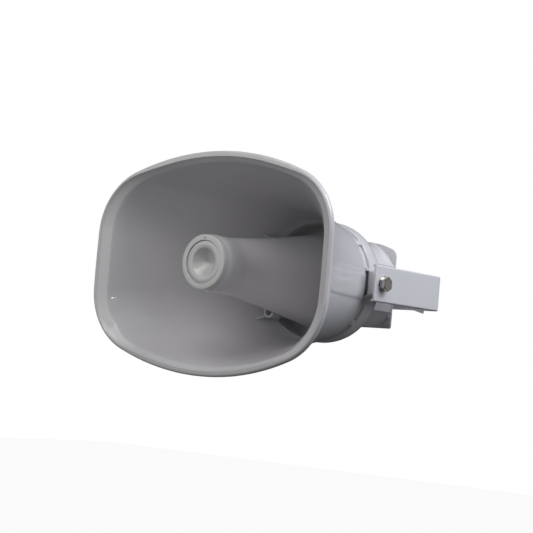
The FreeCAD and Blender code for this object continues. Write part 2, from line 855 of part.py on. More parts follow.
def back_cover_screws():
    return [pan_screw(cover_back, cover_screw_head, 2.6, screw_shank,
                      cover_back - cover_screw_length, sx * column_x, sz * column_z, 1)
            for sx in SIDES for sz in SIDES]


# Driver


def driver_gasket():
    shape = tube(adapter_radius - 0.3, core_spigot + 0.5, floor_back, adapter_front)
    return without(shape, spun_all(rod(screw_hole, floor_back - 1, adapter_front + 1,
                                       driver_screw_circle), quarter_turns))


def dome_centre():
    edge = (adapter_back + plate_front) / 2
    sphere = (dome_radius ** 2 + dome_height ** 2) / (2 * dome_height)
    return edge - dome_height + sphere, sphere


def dome_y(radius, gap):
    """Place along the axis of the surface that lies gap in front of the dome."""
    centre, sphere = dome_centre()
    return centre - math.sqrt((sphere + gap) ** 2 - radius ** 2)


def driver_adapter():
    hole = bore_rear
    edge = film_inner
    rim = film_inner + 0.9
    bottom = adapter_back - roll_height - 0.6
    middle = (dome_radius + hole) / 2
    shape = turned(
        (hole, adapter_front), (adapter_radius, adapter_front), (adapter_radius, adapter_back),
        (clamp_inner - 0.6, adapter_back), (clamp_inner - 0.6, bottom), (rim, bottom),
        (rim, adapter_back), (edge, adapter_back), (edge, dome_y(dome_radius, dome_gap)),
        (dome_radius, dome_y(dome_radius, dome_gap)),
        (middle, dome_y(middle, dome_gap), hole, dome_y(hole, dome_gap)))
    strip = block(-9, 9, adapter_front + 2, adapter_back, adapter_radius - 3, adapter_radius + 4)
    shape = joined(shape, [strip])
    return without(shape, spun_all(rod(screw_hole, adapter_front - 1, adapter_back + 1,
                                       driver_screw_circle), quarter_turns))


def phase_plug():
    widest = bore_rear - 2.2
    tip = adapter_front - 5
    body = turned(
        (0, tip), (widest, adapter_front + 1),
        (widest, dome_y(widest, dome_gap)),
        (widest / 2, dome_y(widest / 2, dome_gap), 0, dome_y(0, dome_gap)))
    inner = widest - 1.5
    vane = block(inner, bore_rear - seat_gap, adapter_front, dome_y(inner, dome_gap) - 0.1, -0.7, 0.7)
    return joined(body, spun_all(vane, (90, 210, 330)))


def diaphragm():
    centre, sphere = dome_centre()
    edge = (adapter_back + plate_front) / 2
    inner = sphere - dome_thickness
    half = math.asin(dome_radius / sphere) / 2
    inner_edge_y = centre - math.sqrt(inner ** 2 - (dome_radius - 0.6) ** 2)
    half_in = math.asin((dome_radius - 0.6) / inner) / 2
    flange = former_inner + former_wall + coil_wall + 0.3
    return turned(
        (0, centre - sphere),
        (sphere * math.sin(half), centre - sphere * math.cos(half), dome_radius, edge),
        (flange, edge), (flange, edge + 0.3), (dome_radius - 0.6, edge + 0.3),
        (dome_radius - 0.6, inner_edge_y),
        (inner * math.sin(half_in), centre - inner * math.cos(half_in), 0, centre - inner))


def diaphragm_surround():
    top = (adapter_back + plate_front - film_thickness) / 2
    low = top + film_thickness
    roll_mid = (roll_inner + roll_outer) / 2
    return turned(
        (film_inner, top), (roll_inner, top), (roll_mid, top - roll_height, roll_outer, top),
        (clamp_inner, top), (clamp_inner, adapter_back), (magnet_radius, adapter_back),
        (magnet_radius, plate_front), (clamp_inner, plate_front), (clamp_inner, low), (roll_outer, low),
        (roll_mid, low - roll_height, roll_inner, low), (film_inner, low))


def voice_coil_former():
    start = (adapter_back + plate_front) / 2 + 0.3
    return tube(former_inner + former_wall, former_inner, start, start + former_length)


def voice_coil():
    inner = former_inner + former_wall
    start = magnet_front - plate_thickness / 2 - coil_length / 2
    return tube(inner + coil_wall, inner, start, start + coil_length)


def back_yoke():
    return turned((pole_vent, plate_front), (pole_radius, plate_front), (pole_radius, yoke_front),
                  (yoke_radius, yoke_front), (yoke_radius, yoke_back - 1), (yoke_radius - 1, yoke_back),
                  (pole_vent, yoke_back))


terminal_x = 5.0
terminal_z = adapter_radius + 1.5
terminal_length = 5.5


def driver_terminals():
    return both_sides(block(terminal_x - 1.4, terminal_x + 1.4, adapter_back,
                            adapter_back + terminal_length, terminal_z - 0.4, terminal_z + 0.4))


def speaker_leads():
    return both_sides(rod(0.7, adapter_back + terminal_length, board_front, terminal_x, terminal_z))


# Rear housing


def rear_housing():
    shape = housing_slab(0, bowl_back, housing_back).cut(
        housing_slab(housing_wall, bowl_back - 1, housing_back + 1))
    shape = joined(shape, columns(column_radius, bowl_back, housing_back))
    return without(shape, columns(screw_hole, bowl_back - 1, housing_back + 1))


def seal_ring(y_start):
    outer = housing_slab(seal_inset, y_start, y_start + seal_depth)
    return outer.cut(housing_slab(seal_inset + seal_width, y_start, y_start + seal_depth))


def back_cover():
    side = cover_half_width
    low = -housing_bottom
    sag = cover_top_radius - math.sqrt(cover_top_radius ** 2 - side ** 2)
    shoulder = cover_top - sag
    y = housing_back
    right = V(side, y, shoulder)
    left = V(-side, y, shoulder)
    wire = Part.Wire([
        Part.makeLine(V(-side, y, low), V(side, y, low)), Part.makeLine(V(side, y, low), right),
        Part.Arc(right, V(0, y, cover_top), left).toShape(), Part.makeLine(left, V(-side, y, low))])
    shape = Part.Face(wire).extrude(V(0, cover_thickness, 0))
    corners = [e for e in shape.Edges if along(e, 1)]
    shape = shape.makeFillet(cover_top_corner, [e for e in corners if e.CenterOfMass.z > 0])
    corners = [e for e in shape.Edges if along(e, 1) and abs(e.CenterOfMass.z - low) < 1e-6
               and abs(abs(e.CenterOfMass.x) - side) < 1e-6]
    shape = shape.makeFillet(cover_bottom_corner, corners)
    rear = [e for e in shape.Edges if abs(e.BoundBox.YMin - cover_back) < 1e-6]
    shape = shape.makeChamfer(0.6, rear)
    tools = columns(screw_hole, housing_back - 1, cover_back + 1)
    tools += [rod(ear_hole, housing_back - 1, cover_back + 1, sx * ear_hole_x, -ear_hole_z) for sx in SIDES]
    tools += [rod(gland_thread + 0.15, housing_back - 1, cover_back + 1, 0, gland_z),
              rod(vent_radius - 1.9, housing_back - 1, cover_back + 1, vent_x, vent_z),
              seal_ring(housing_back)]
    return without(shape, tools)


# Amplifier board and what is soldered to it


def standoff_places():
    return [around(standoff_circle, angle) for angle in quarter_turns]


def amplifier_board():
    inset = housing_wall + board_margin
    shape = housing_slab(inset, board_front, board_back)
    tools = columns(column_radius + board_margin, board_front - 1, board_back + 1)
    tools += [rod(board_hole, board_front - 1, board_back + 1, x, z) for x, z in standoff_places()]
    return without(shape, tools)


def board_standoffs():
    return [hexagon(standoff_flats, yoke_back, board_front, x, z).cut(
        rod(1.5, yoke_back + 0.5, board_front, x, z)) for x, z in standoff_places()]


def board_screws():
    return [pan_screw(board_back, board_screw_head, 1.8, board_screw_head_height, yoke_back + 1, x, z, 1)
            for x, z in standoff_places()]


def network_jack():
    x = jack_x
    half = jack_width / 2
    low = jack_z - jack_length / 2
    top = board_back + jack_height
    shell = block(x - half, x + half, board_back, top, low, low + jack_length)
    mouth = block(x - half + 2, x + half - 2, board_back + 2.2, top - 4.4, low - 1, low + jack_length - 7)
    key = block(x - half + 4.6, x + half - 4.6, top - 5.4, top - 2.8, low - 1, low + jack_length - 7)
    latch = block(x - half + 6.2, x + half - 6.2, top - 3.4, top - 1.4, low - 1, low + jack_length - 12)
    return without(shell, [mouth, key, latch])


def chip(x, z, width, length, height):
    body = block(x - width / 2, x + width / 2, board_back, board_back + height,
                 z - length / 2, z + length / 2)
    top = [e for e in body.Edges if abs(e.BoundBox.YMin - board_back - height) < 1e-6]
    body = body.makeChamfer(min(height, 1.6) * 0.25, top)
    return body.cut(rod(0.6, board_back + height - 0.3, board_back + height + 1,
                        x - width / 2 + 2, z + length / 2 - 2))


def heat_sink():
    left = amp_x - sink_width / 2
    low = amp_z - sink_width / 2
    base = board_back + amp_height
    shape = block(left, left + sink_width, base, base + sink_height, low, low + sink_width)
    pitch = sink_fin + sink_gap
    count = round((sink_width - sink_fin) / pitch)
    gaps = [block(left + sink_fin + pitch * i, left + pitch * (i + 1), base + sink_base,
                  base + sink_height + 1, low - 1, low + sink_width + 1) for i in range(count)]
    return without(shape, gaps)


def inductors():
    top = drum_height - drum_flange
    drum = turned((0, 0), (drum_radius, 0), (drum_radius, drum_flange), (drum_core, drum_flange),
                  (drum_core, top), (drum_radius, top), (drum_radius, drum_height), (0, drum_height))
    shapes = []
    for x, z in ((first_drum_x, first_drum_z), (second_drum_x, second_drum_z)):
        copy = drum.copy()
        copy.translate(V(x, board_back, z))
        shapes.append(copy)
    return shapes


def capacitors():
    groove_end = can_groove_start + can_groove_width
    can = turned((0, 0), (can_radius, 0), (can_radius, can_groove_start),
                 (can_radius - can_groove, (can_groove_start + groove_end) / 2, can_radius, groove_end),
                 (can_radius, can_height - can_edge),
                 (can_radius - can_edge * 0.3, can_height - can_edge * 0.3, can_radius - can_edge, can_height),
                 (0, can_height))
    shapes = []
    for x, z in ((can_side_x, can_upper_z), (can_side_x, can_middle_z), (can_lower_x, can_lower_z)):
        copy = can.copy()
        copy.translate(V(x, board_back, z))
        shapes.append(copy)
    return shapes


def speaker_terminals():
    half = output_width / 2
    top = board_back + output_height
    low = output_z - output_depth / 2
    high = output_z + output_depth / 2
    body = block(-half, half, board_back, top, low, high)
    middles = [side * output_pitch / 2 for side in SIDES]
    wells = [rod(1.7, top - 2, top + 1, x, output_z) for x in middles]
    entries = [block(x - 1.4, x + 1.4, board_back + 2, board_back + 5, high - 3, high + 1) for x in middles]
    return without(body, wells + entries)


# Cable gland and breather in the cover


def gland_body():
    flange = hexagon(gland_flats, cover_back, cover_back + gland_flange, 0, gland_z)
    nut_start = cover_back + gland_flange + gland_neck
    stem = rod(gland_thread, housing_back - locknut_thickness - 1, cover_back + gland_flange, 0, gland_z)
    neck = rod(gland_thread - 1.4, cover_back, nut_start + gland_nut_length * 0.45, 0, gland_z)
    bore = rod(gland_bore, housing_back - 20, cover_back + 40, 0, gland_z)
    return flange.fuse([stem, neck]).removeSplitter().cut(bore)


def gland_nut():
    start = cover_back + gland_flange + gland_neck
    end = start + gland_nut_length
    outer = hexagon(gland_flats, start, start + gland_nut_length * 0.62, 0, gland_z)
    dome = Part.makeCone(gland_flats / 2 - 0.6, gland_nut_end, gland_nut_length * 0.4,
                         V(0, start + gland_nut_length * 0.6, gland_z), AXIS)
    hollow = rod(gland_thread - 1.3, start - 1, start + gland_nut_length * 0.7, 0, gland_z)
    mouth = rod(gland_bore, start, end + 1, 0, gland_z)
    return outer.fuse(dome).removeSplitter().cut(hollow).cut(mouth)


def gland_seal():
    start = cover_back + gland_flange + 1
    end = cover_back + gland_flange + gland_neck + gland_nut_length + 0.6
    return tube(gland_bore - 0.1, cable_hole, start, end, 0, gland_z)


def gland_locknut():
    nut = hexagon(gland_flats, housing_back, housing_back - locknut_thickness, 0, gland_z)
    return nut.cut(rod(gland_thread + 0.05, housing_back - locknut_thickness - 1,
                       housing_back + 1, 0, gland_z))


def breather_vent():
    cap = turned((0, cover_back), (vent_radius, cover_back), (vent_radius, cover_back + vent_height - 1),
                 (vent_radius - 0.3, cover_back + vent_height - 0.3,
                  vent_radius - 1, cover_back + vent_height), (0, cover_back + vent_height))
    slots = spun_all(block(vent_radius - 1, vent_radius + 1, cover_back + 1, cover_back + 2.2, -0.9, 0.9),
                     range(0, 360, 60))
    cap = without(cap, slots)
    cap.translate(V(vent_x, 0, vent_z))
    return cap.fuse(rod(vent_radius - 2, housing_back - 2, cover_back, vent_x, vent_z)).removeSplitter()


def parts():
    pieces = {
        "mounting_bracket": mounting_bracket(),
        "horn_flare": horn_flare(),
        "reflector_bowl": reflector_bowl(),
        "reflex_cone": reflex_cone(),
        "nose_ring": nose_ring(),
        "cone_cap": cone_cap(),
        "throat_core": throat_core(),
        "cone_screws": cone_screws(),
        "core_screws": core_screws(),
        "driver_gasket": driver_gasket(),
        "driver_adapter": driver_adapter(),
        "phase_plug": phase_plug(),
        "diaphragm": diaphragm(),
        "diaphragm_surround": diaphragm_surround(),
        "voice_coil_former": voice_coil_former(),
        "voice_coil": voice_coil(),
        "top_plate": tube(magnet_radius, coil_gap_radius, plate_front, magnet_front),
        "magnet": tube(magnet_radius, magnet_hole, magnet_front, yoke_front),
        "back_yoke": back_yoke(),
        "driver_screws": driver_screws(),
        "driver_terminals": driver_terminals(),
        "speaker_leads": speaker_leads(),
        "rear_housing": rear_housing(),
        "housing_gasket": seal_ring(bowl_back - seal_depth),
        "cover_gasket": seal_ring(housing_back),
        "back_cover": back_cover(),
        "back_cover_screws": back_cover_screws(),
        "amplifier_board": amplifier_board(),
        "board_standoffs": board_standoffs(),
        "board_screws": board_screws(),
        "network_jack": network_jack(),
        "network_transformer": chip(transformer_x, transformer_z, transformer_width, transformer_length,
                                    transformer_height),
        "processor_chip": chip(processor_x, processor_z, processor_size, processor_size, processor_height),
        "amplifier_chip": chip(amp_x, amp_z, amp_size, amp_size, amp_height),
        "heat_sink": heat_sink(),
        "inductors": inductors(),
        "capacitors": capacitors(),
        "speaker_terminals": speaker_terminals(),
        "gland_body": gland_body(),
        "gland_seal": gland_seal(),
        "gland_nut": gland_nut(),
        "gland_locknut": gland_locknut(),
        "breather_vent": breather_vent()}
    for name, shape in tilt_hardware().items():
        pieces[name] = both_sides(shape)
    return pieces


os.makedirs("parts", exist_ok=True)
for name, shape in parts().items():
    if isinstance(shape, list):
        shape = Part.makeCompound(shape)
    shape.translate(V(0, -setback, 0))
    shape.exportStep("parts/" + name + ".step")
    box = shape.BoundBox
    print(name, len(shape.Solids), "valid" if shape.isValid() else "NOT VALID", round(shape.Volume, 1),
          "x", round(box.XMin, 2), round(box.XMax, 2), "y", round(box.YMin, 2), round(box.YMax, 2),
          "z", round(box.ZMin, 2), round(box.ZMax, 2))
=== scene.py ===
import bpy
import bmesh
import json
import math
import random
from mathutils import Euler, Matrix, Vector


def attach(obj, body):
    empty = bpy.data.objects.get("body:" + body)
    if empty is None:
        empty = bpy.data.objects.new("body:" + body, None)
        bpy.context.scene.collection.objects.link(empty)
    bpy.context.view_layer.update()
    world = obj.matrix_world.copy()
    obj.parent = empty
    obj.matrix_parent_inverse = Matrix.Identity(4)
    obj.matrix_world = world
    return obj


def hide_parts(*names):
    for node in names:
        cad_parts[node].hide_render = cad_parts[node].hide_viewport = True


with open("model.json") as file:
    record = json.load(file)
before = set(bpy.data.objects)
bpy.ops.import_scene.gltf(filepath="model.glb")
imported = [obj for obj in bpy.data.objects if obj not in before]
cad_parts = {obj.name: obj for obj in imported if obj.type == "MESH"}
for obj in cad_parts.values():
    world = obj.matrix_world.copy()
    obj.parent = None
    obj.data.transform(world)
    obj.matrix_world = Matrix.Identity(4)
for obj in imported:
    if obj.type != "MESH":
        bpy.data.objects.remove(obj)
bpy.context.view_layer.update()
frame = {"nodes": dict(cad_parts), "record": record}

# Sizes in millimetres about the tilt axis, which lies ahead of the wall by the setback.
mm = 0.001
setback = 106.0
bore_turn = 41.0
post_angles = (bore_turn, 180 - bore_turn, 180 + bore_turn, -bore_turn)
post_circle = 53.5
ear_front = -16.5


def at(x, y, z):
    """A point about the tilt axis, in millimetres, as metres from the wall."""
    return Vector((x * mm, (y - setback) * mm, z * mm))


def around(circle, angle):
    return circle * math.cos(math.radians(angle)), circle * math.sin(math.radians(angle))


# Sums written as Python expressions become Math nodes.


class Value:
    def __init__(self, tree, socket):
        self.tree = tree
        self.socket = socket

    def __add__(self, other):
        return self.tree.math("ADD", self, other)

    def __radd__(self, other):
        return self.tree.math("ADD", other, self)

    def __sub__(self, other):
        return self.tree.math("SUBTRACT", self, other)

    def __rsub__(self, other):
        return self.tree.math("SUBTRACT", other, self)

    def __mul__(self, other):
        return self.tree.math("MULTIPLY", self, other)

    def __rmul__(self, other):
        return self.tree.math("MULTIPLY", other, self)

    def __truediv__(self, other):
        return self.tree.math("DIVIDE", self, other)

    def __pow__(self, other):
        return self.tree.math("POWER", self, other)

    def __lt__(self, other):
        return self.tree.math("LESS_THAN", self, other)

    def __gt__(self, other):
        return self.tree.math("GREATER_THAN", self, other)

    def __abs__(self):
        return self.tree.math("ABSOLUTE", self)


class Tree:
    """A node tree that is written one node at a time."""

    def __init__(self, tree):
        self.tree = tree

    def node(self, kind, settings=None, inputs=None, out=0):
        made = self.tree.nodes.new(kind)
        for key, value in (settings or {}).items():
            setattr(made, key, value)
        for key, value in (inputs or {}).items():
            self.feed(made.inputs[key], value)
        return Value(self, made.outputs[out])

    def feed(self, socket, value):
        if isinstance(value, Value):
            self.tree.links.new(value.socket, socket)
        else:
            socket.default_value = value

    def math(self, operation, *values):
        return self.node("ShaderNodeMath", {"operation": operation}, dict(enumerate(values)))

    def sibling(self, value, out):
        """Another output of the node that a value comes from."""
        return Value(self, value.socket.node.outputs[out])

    def mix(self, factor, one, other):
        """A colour between two others."""
        settings = {"data_type": "RGBA"}
        return self.node("ShaderNodeMix", settings, {0: factor, 6: one, 7: other}, 2)

    def smooth(self, value, start, end):
        """0 before start and 1 after end, eased between."""
        return self.node("ShaderNodeMapRange", {"interpolation_type": "SMOOTHSTEP"},
                         {0: value, 1: start, 2: end})


# Finishes


def shade(colour, factor):
    return (*[min(1.0, c * factor) for c in colour], 1)


class Finish(Tree):
    """A material whose colour, roughness and relief all vary over the surface."""

    def __init__(self, name):
        self.material = bpy.data.materials.new(name)
        self.material.use_nodes = True
        super().__init__(self.material.node_tree)
        self.shader = self.tree.nodes["Principled BSDF"]
        self.where = self.node("ShaderNodeTexCoord", out="Object")

    def noise(self, scale, detail=2.0, roughness=0.5, stretch=None):
        where = self.where
        if stretch:
            where = self.node("ShaderNodeMapping", inputs={"Vector": where, "Scale": stretch})
        return self.node("ShaderNodeTexNoise", inputs={
            "Vector": where, "Scale": scale, "Detail": detail, "Roughness": roughness})

    def relief(self, *layers):
        """Bumps on top of each other; each layer is a height, its strength and its depth in mm."""
        normal = None
        for height, strength, depth in layers:
            inputs = {"Height": height, "Strength": strength, "Distance": depth * mm}
            if normal:
                inputs["Normal"] = normal
            normal = self.node("ShaderNodeBump", inputs=inputs)
        self.feed(self.shader.inputs["Normal"], normal)

    def set(self, **values):
        for key, value in values.items():
            self.feed(self.shader.inputs[key.replace("_", " ").title()], value)


def moulded(name, colour, rough, grain=0.12, cloud=0.03, gloss=0.0, warm=(1.0, 1.0, 1.0),
            clear=0.07):
    """Injection-moulded plastic: faint clouding, a fine satin grain and shallow sink. Gloss is the
    weight of a coat as rough as clear, and warm tints the darker clouds."""
    f = Finish(name)
    cloudy = f.noise(14, 3, 0.6)
    fine = f.noise(900, 2, 0.6)
    dark = shade([c * w for c, w in zip(colour, warm)], 1 - cloud)
    blotch = f.mix(cloudy, dark, shade(colour, 1 + cloud))
    colour_out = f.mix(fine * 0.35, blotch, shade(colour, 1 - cloud * 1.5))
    f.set(base_color=colour_out, roughness=rough + (cloudy - 0.5) * 0.10 + (fine - 0.5) * 0.08)
    f.relief((f.noise(22, 1), 0.25, 0.6), (f.noise(2400, 1), grain, 0.05))
    if gloss:
        f.set(coat_weight=gloss)
        f.shader.inputs["Coat Roughness"].default_value = clear
    return f.material


def powder(name, colour):
    """Powder coat: orange peel over flat sheet, a little duller on the peaks."""
    f = Finish(name)
    peel = f.node("ShaderNodeTexVoronoi", {"feature": "SMOOTH_F1"}, {
        "Vector": f.where, "Scale": 650.0, "Smoothness": 1.0})
    broad = f.noise(30, 3)
    f.set(base_color=f.mix(broad, shade(colour, 0.965), shade(colour, 1.02)),
          roughness=0.36 + broad * 0.10 + peel * 0.06)
    f.relief((peel, 0.22, 0.12), (f.noise(3000, 1), 0.10, 0.03))
    return f.material


def metal(name, colour, rough, stretch=(1, 1, 1), lines=500, tarnish=0.12, patch=None):
    """Bare or plated metal with fine tool lines and dull patches."""
    f = Finish(name)
    line = f.noise(lines, 3, 0.7, stretch)
    dull = f.noise(120, 4, 0.65)
    f.set(base_color=f.mix(dull, shade(colour, 1 - tarnish), patch or shade(colour, 1.06)),
          metallic=1.0, roughness=rough + (dull - 0.5) * 0.18 + (line - 0.5) * 0.16)
    f.relief((line, 0.18, 0.02), (dull, 0.1, 0.05))
    return f.material


def soft(name, colour, rough=0.75):
    """Rubber or fibre: dull, dusty and finely pitted."""
    f = Finish(name)
    dust = f.noise(60, 5, 0.7)
    pits = f.noise(1400, 3, 0.7)
    f.set(base_color=f.mix(dust, shade(colour, 0.8), shade(colour, 1.6)),
          roughness=rough + (dust - 0.5) * 0.15)
    f.relief((pits, 0.3, 0.08))
    return f.material


def laminate(name):
    """Solder mask over copper tracks, with a little of the weave showing."""
    f = Finish(name)
    tracks = f.node("ShaderNodeTexBrick", {"offset": 0.37}, {
        "Vector": f.node("ShaderNodeMapping", inputs={
            "Vector": f.where, "Rotation": (math.radians(90), 0, 0)}),
        "Color1": (0.045, 0.21, 0.09, 1), "Color2": (0.030, 0.15, 0.065, 1),
        "Mortar": (0.075, 0.30, 0.13, 1), "Scale": 190.0, "Mortar Size": 0.06,
        "Brick Width": 1.7, "Row Height": 0.45})
    weave = f.noise(260, 3)
    f.set(base_color=f.mix(weave * 0.3, tracks, (0.03, 0.12, 0.06, 1)),
          roughness=0.32 + weave * 0.2)
    f.relief((f.sibling(tracks, "Fac"), 0.3, 0.05), (weave, 0.1, 0.03))
    return f.material


finishes = {
    "horn_plastic": moulded("horn plastic", (0.67, 0.66, 0.695), 0.34, gloss=0.55,
                            warm=(1.0, 0.985, 0.985)),
    "cap_plastic": moulded("cap plastic", (0.60, 0.60, 0.615), 0.24, grain=0.05, gloss=0.8,
                           clear=0.1),
    "inner_plastic": moulded("inner plastic", (0.57, 0.58, 0.59), 0.38),
    "powder_coat": powder("powder coat", (0.70, 0.685, 0.73)),
    "stainless": metal("stainless steel", (0.50, 0.48, 0.45), 0.17, lines=700),
    "zinc_steel": metal("zinc plating", (0.55, 0.55, 0.52), 0.34, (1, 4, 1), 400, 0.2,
                        (0.60, 0.58, 0.48, 1)),
    "brass": metal("brass", (0.72, 0.52, 0.24), 0.28, lines=600),
    "friction_polymer": moulded("friction polymer", (0.025, 0.025, 0.026), 0.5),
    "seal_rubber": soft("seal rubber", (0.022, 0.022, 0.022)),
    "driver_plastic": moulded("driver plastic", (0.018, 0.018, 0.02), 0.42, grain=0.3, cloud=0.2),
    "diaphragm_film": moulded("diaphragm film", (0.42, 0.21, 0.05), 0.22, grain=0.1, cloud=0.12),
    "ferrite": soft("ferrite", (0.035, 0.035, 0.038), 0.55),
    "copper": metal("enamelled copper", (0.62, 0.26, 0.11), 0.24, lines=900),
    "board_laminate": laminate("board laminate"),
    "component_black": moulded("component black", (0.014, 0.014, 0.015), 0.45, grain=0.3,
                               cloud=0.2),
    "aluminium": metal("bare aluminium", (0.66, 0.66, 0.67), 0.32, (1, 6, 1), 300),
    "terminal_green": moulded("terminal green", (0.02, 0.24, 0.08), 0.4, cloud=0.08)}

# The solids that are shown as they are take the finish of their slot.
slot_of = {row["node"]: row["material_slot"] for row in frame["record"]["subparts"]}
for name, node in frame["nodes"].items():
    if not node.material_slots:
        node.data.materials.append(None)
    for place in node.material_slots:
        place.material = finishes[slot_of[name]]

# Tools for the pieces


def mesh_object(name, mesh):
    made = bpy.data.objects.new(name, mesh)
    bpy.context.scene.collection.objects.link(made)
    return made


def outward_mesh(name, shape):
    """The mesh of a closed shape, with its faces turned outwards."""
    bmesh.ops.recalc_face_normals(shape, faces=shape.faces)
    mesh = bpy.data.meshes.new(name)
    shape.to_mesh(mesh)
    shape.free()
    return mesh


def wound(name, rings, around_count=48, closed=False):
    """A mesh of rings about the Y axis. Each ring is (radius, y) in millimetres, and a ring of
    radius 0 closes as a pole. Closed rings join the last to the first."""
    shape = bmesh.new()
    rows = []
    for radius, y in rings:
        if radius == 0:
            rows.append([shape.verts.new((0, y * mm, 0))])
            continue
        row = []
        for i in range(around_count):
            x, z = around(radius * mm, 360 * i / around_count)
            row.append(shape.verts.new((x, y * mm, z)))
        rows.append(row)
    pairs = list(zip(rows, rows[1:]))
    if closed:
        pairs.append((rows[-1], rows[0]))
    for low, high in pairs:
        for i in range(around_count):
            j = (i + 1) % around_count
            corners = [low[i % len(low)], low[j % len(low)],
                       high[j % len(high)], high[i % len(high)]]
            corners = list(dict.fromkeys(corners))
            if len(corners) > 2:
                shape.faces.new(corners)
    return outward_mesh(name, shape)


def prism(outline, start, end, axis=1):
    """A mesh from an outline pushed along an axis, in millimetres."""
    shape = bmesh.new()
    rings = []
    for level in (start, end):
        row = []
        for a, b in outline:
            point = [a, b]
            point.insert(axis, level)
            row.append(shape.verts.new([c * mm for c in point]))
        rings.append(row)
    for i in range(len(outline)):
        j = (i + 1) % len(outline)
        shape.faces.new([rings[0][i], rings[0][j], rings[1][j], rings[1][i]])
    for row in rings:
        shape.faces.new(row)
    return outward_mesh("prism", shape)


def smooth(mesh, angle=32):
    """Smooth shading, except along edges sharper than the angle in degrees."""
    mesh.polygons.foreach_set("use_smooth", [True] * len(mesh.polygons))
    mesh.set_sharp_from_angle(angle=math.radians(angle))


class Grower(Tree):
    """A geometry tree with named inputs, applied to a seed mesh and turned into a plain mesh."""

    def __init__(self, name, inputs):
        super().__init__(bpy.data.node_groups.new(name, "GeometryNodeTree"))
        face = self.tree.interface
        face.new_socket(name="Geometry", in_out="INPUT", socket_type="NodeSocketGeometry")
        self.kinds = {}
        for key, kind in {**inputs, "Finish": "Material"}.items():
            self.kinds[key] = face.new_socket(name=key, in_out="INPUT",
                                              socket_type="NodeSocket" + kind)
        face.new_socket(name="Geometry", in_out="OUTPUT", socket_type="NodeSocketGeometry")
        self.ins = self.tree.nodes.new("NodeGroupInput")
        self.seed = self.input("Geometry")

    def input(self, name):
        return Value(self, self.ins.outputs[name])

    def field(self, name):
        """A named number stored on the points of the seed mesh."""
        return self.node("GeometryNodeInputNamedAttribute", {"data_type": "FLOAT"}, {"Name": name})

    def end(self, geometry):
        real = self.node("GeometryNodeRealizeInstances", inputs={0: geometry})
        done = self.node("GeometryNodeSetMaterial", inputs={
            0: real, "Material": self.input("Finish")})
        out = self.tree.nodes.new("NodeGroupOutput")
        self.tree.links.new(done.socket, out.inputs[0])
        return self

    def grow(self, name, seed, **values):
        made = mesh_object(name, seed)
        modifier = made.modifiers.new("grower", "NODES")
        modifier.node_group = self.tree
        for key, value in values.items():
            modifier[self.kinds[key.replace("_", " ").capitalize()].identifier] = value
        made.update_tag()
        graph = bpy.context.evaluated_depsgraph_get()
        mesh = bpy.data.meshes.new_from_object(made.evaluated_get(graph))
        mesh.name = name
        made.modifiers.remove(modifier)
        made.data = mesh
        return made


def seeds(name, points, **fields):
    """Loose points with a named number for each."""
    mesh = bpy.data.meshes.new(name)
    mesh.from_pydata([tuple(p) for p in points], [], [])
    for key, numbers in fields.items():
        layer = mesh.attributes.new(key, "FLOAT", "POINT")
        layer.data.foreach_set("value", list(numbers))
    return mesh


def copier():
    """Sets a copy of a pattern piece on each point, turned about Y by turn."""
    g = Grower("copies", {"Pattern": "Object"})
    pattern = g.node("GeometryNodeObjectInfo", inputs={"Object": g.input("Pattern")},
                     out="Geometry")
    turn = g.node("ShaderNodeCombineXYZ", inputs={"Y": g.field("turn")})
    copies = g.node("GeometryNodeInstanceOnPoints", inputs={
        "Points": g.seed, "Instance": pattern, "Rotation": turn})
    return g.end(copies)


copies = copier()


def repeat(name, pattern, places, finish, body="horn", hides=None, angle=32):
    """One piece made of copies of a mesh; places are (point, turn in degrees)."""
    template = mesh_object(name + "_pattern", pattern)
    points = seeds(name, [point for point, turn in places],
                   turn=[math.radians(turn) for point, turn in places])
    made = copies.grow(name, points, pattern=template, finish=finishes[finish])
    bpy.data.objects.remove(template)
    smooth(made.data, angle)
    settle(made, body, hides)


def settle(made, body="horn", hides=None):
    """Puts a piece on its body and in place of the solid that it hides."""
    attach(made, body)
    if hides:
        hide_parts(hides)


# The flare, swept from its sections

mouth = {"half_width": 142.5, "half_height": 106.0, "top_radius": 272.0, "side_radius": 1088.0,
         "corner_radius": 64.0}
mouth_front = -176.0
mouth_sweep = 5.5
rear_radius = 59.1
flare_rear = -11.6
wall = 3.3

# The lip, rolled at its front and back edges, and the fillet behind it
lip_width = 7.5
lip_back = -170.0
front_roll = 2.4
back_roll = 1.8
fillet = 1.2
fillet_middle = 0.35

# The bevel inside the mouth, from its crease; it is narrower in the middle of the top and bottom
crease = -169.9
bevel = 4.7
bevel_middle = 0.5
bevel_fade = (0.45, 0.86)

# The step inside the neck
neck_front = -14.15
neck_step = 1.15
neck_run = 8.0

# Raised lands on both flanks; each pair is where a soft edge starts and ends
land_bottom = (-18.2, -14.4)
land_top = 8.5
land_fall = 5.0
land_edge = (-0.7, 0.7)
shoulder_bottom = (-0.5, 0.5)
shoulder_top = (12.0, 13.0)
shoulder_end = (66.8, 68.2)

# Each station is 1 on the lip, grown outwards, at y in the middle, 1 on the outside and 1 on the
# bevel.
station_fields = ("lip", "grow", "reach", "outer", "band")
flare_inputs = ("Rear radius", "Half width", "Half height", "Top radius", "Side radius",
                "Corner radius", "Lip width", "Mouth sweep", "Width slope", "Width power",
                "Height slope", "Height power", "Land rise", "Shoulder rise")


def spaced(start, end, count):
    """Numbers from start to end in even steps."""
    return [start + (end - start) * i / (count - 1) for i in range(count)]


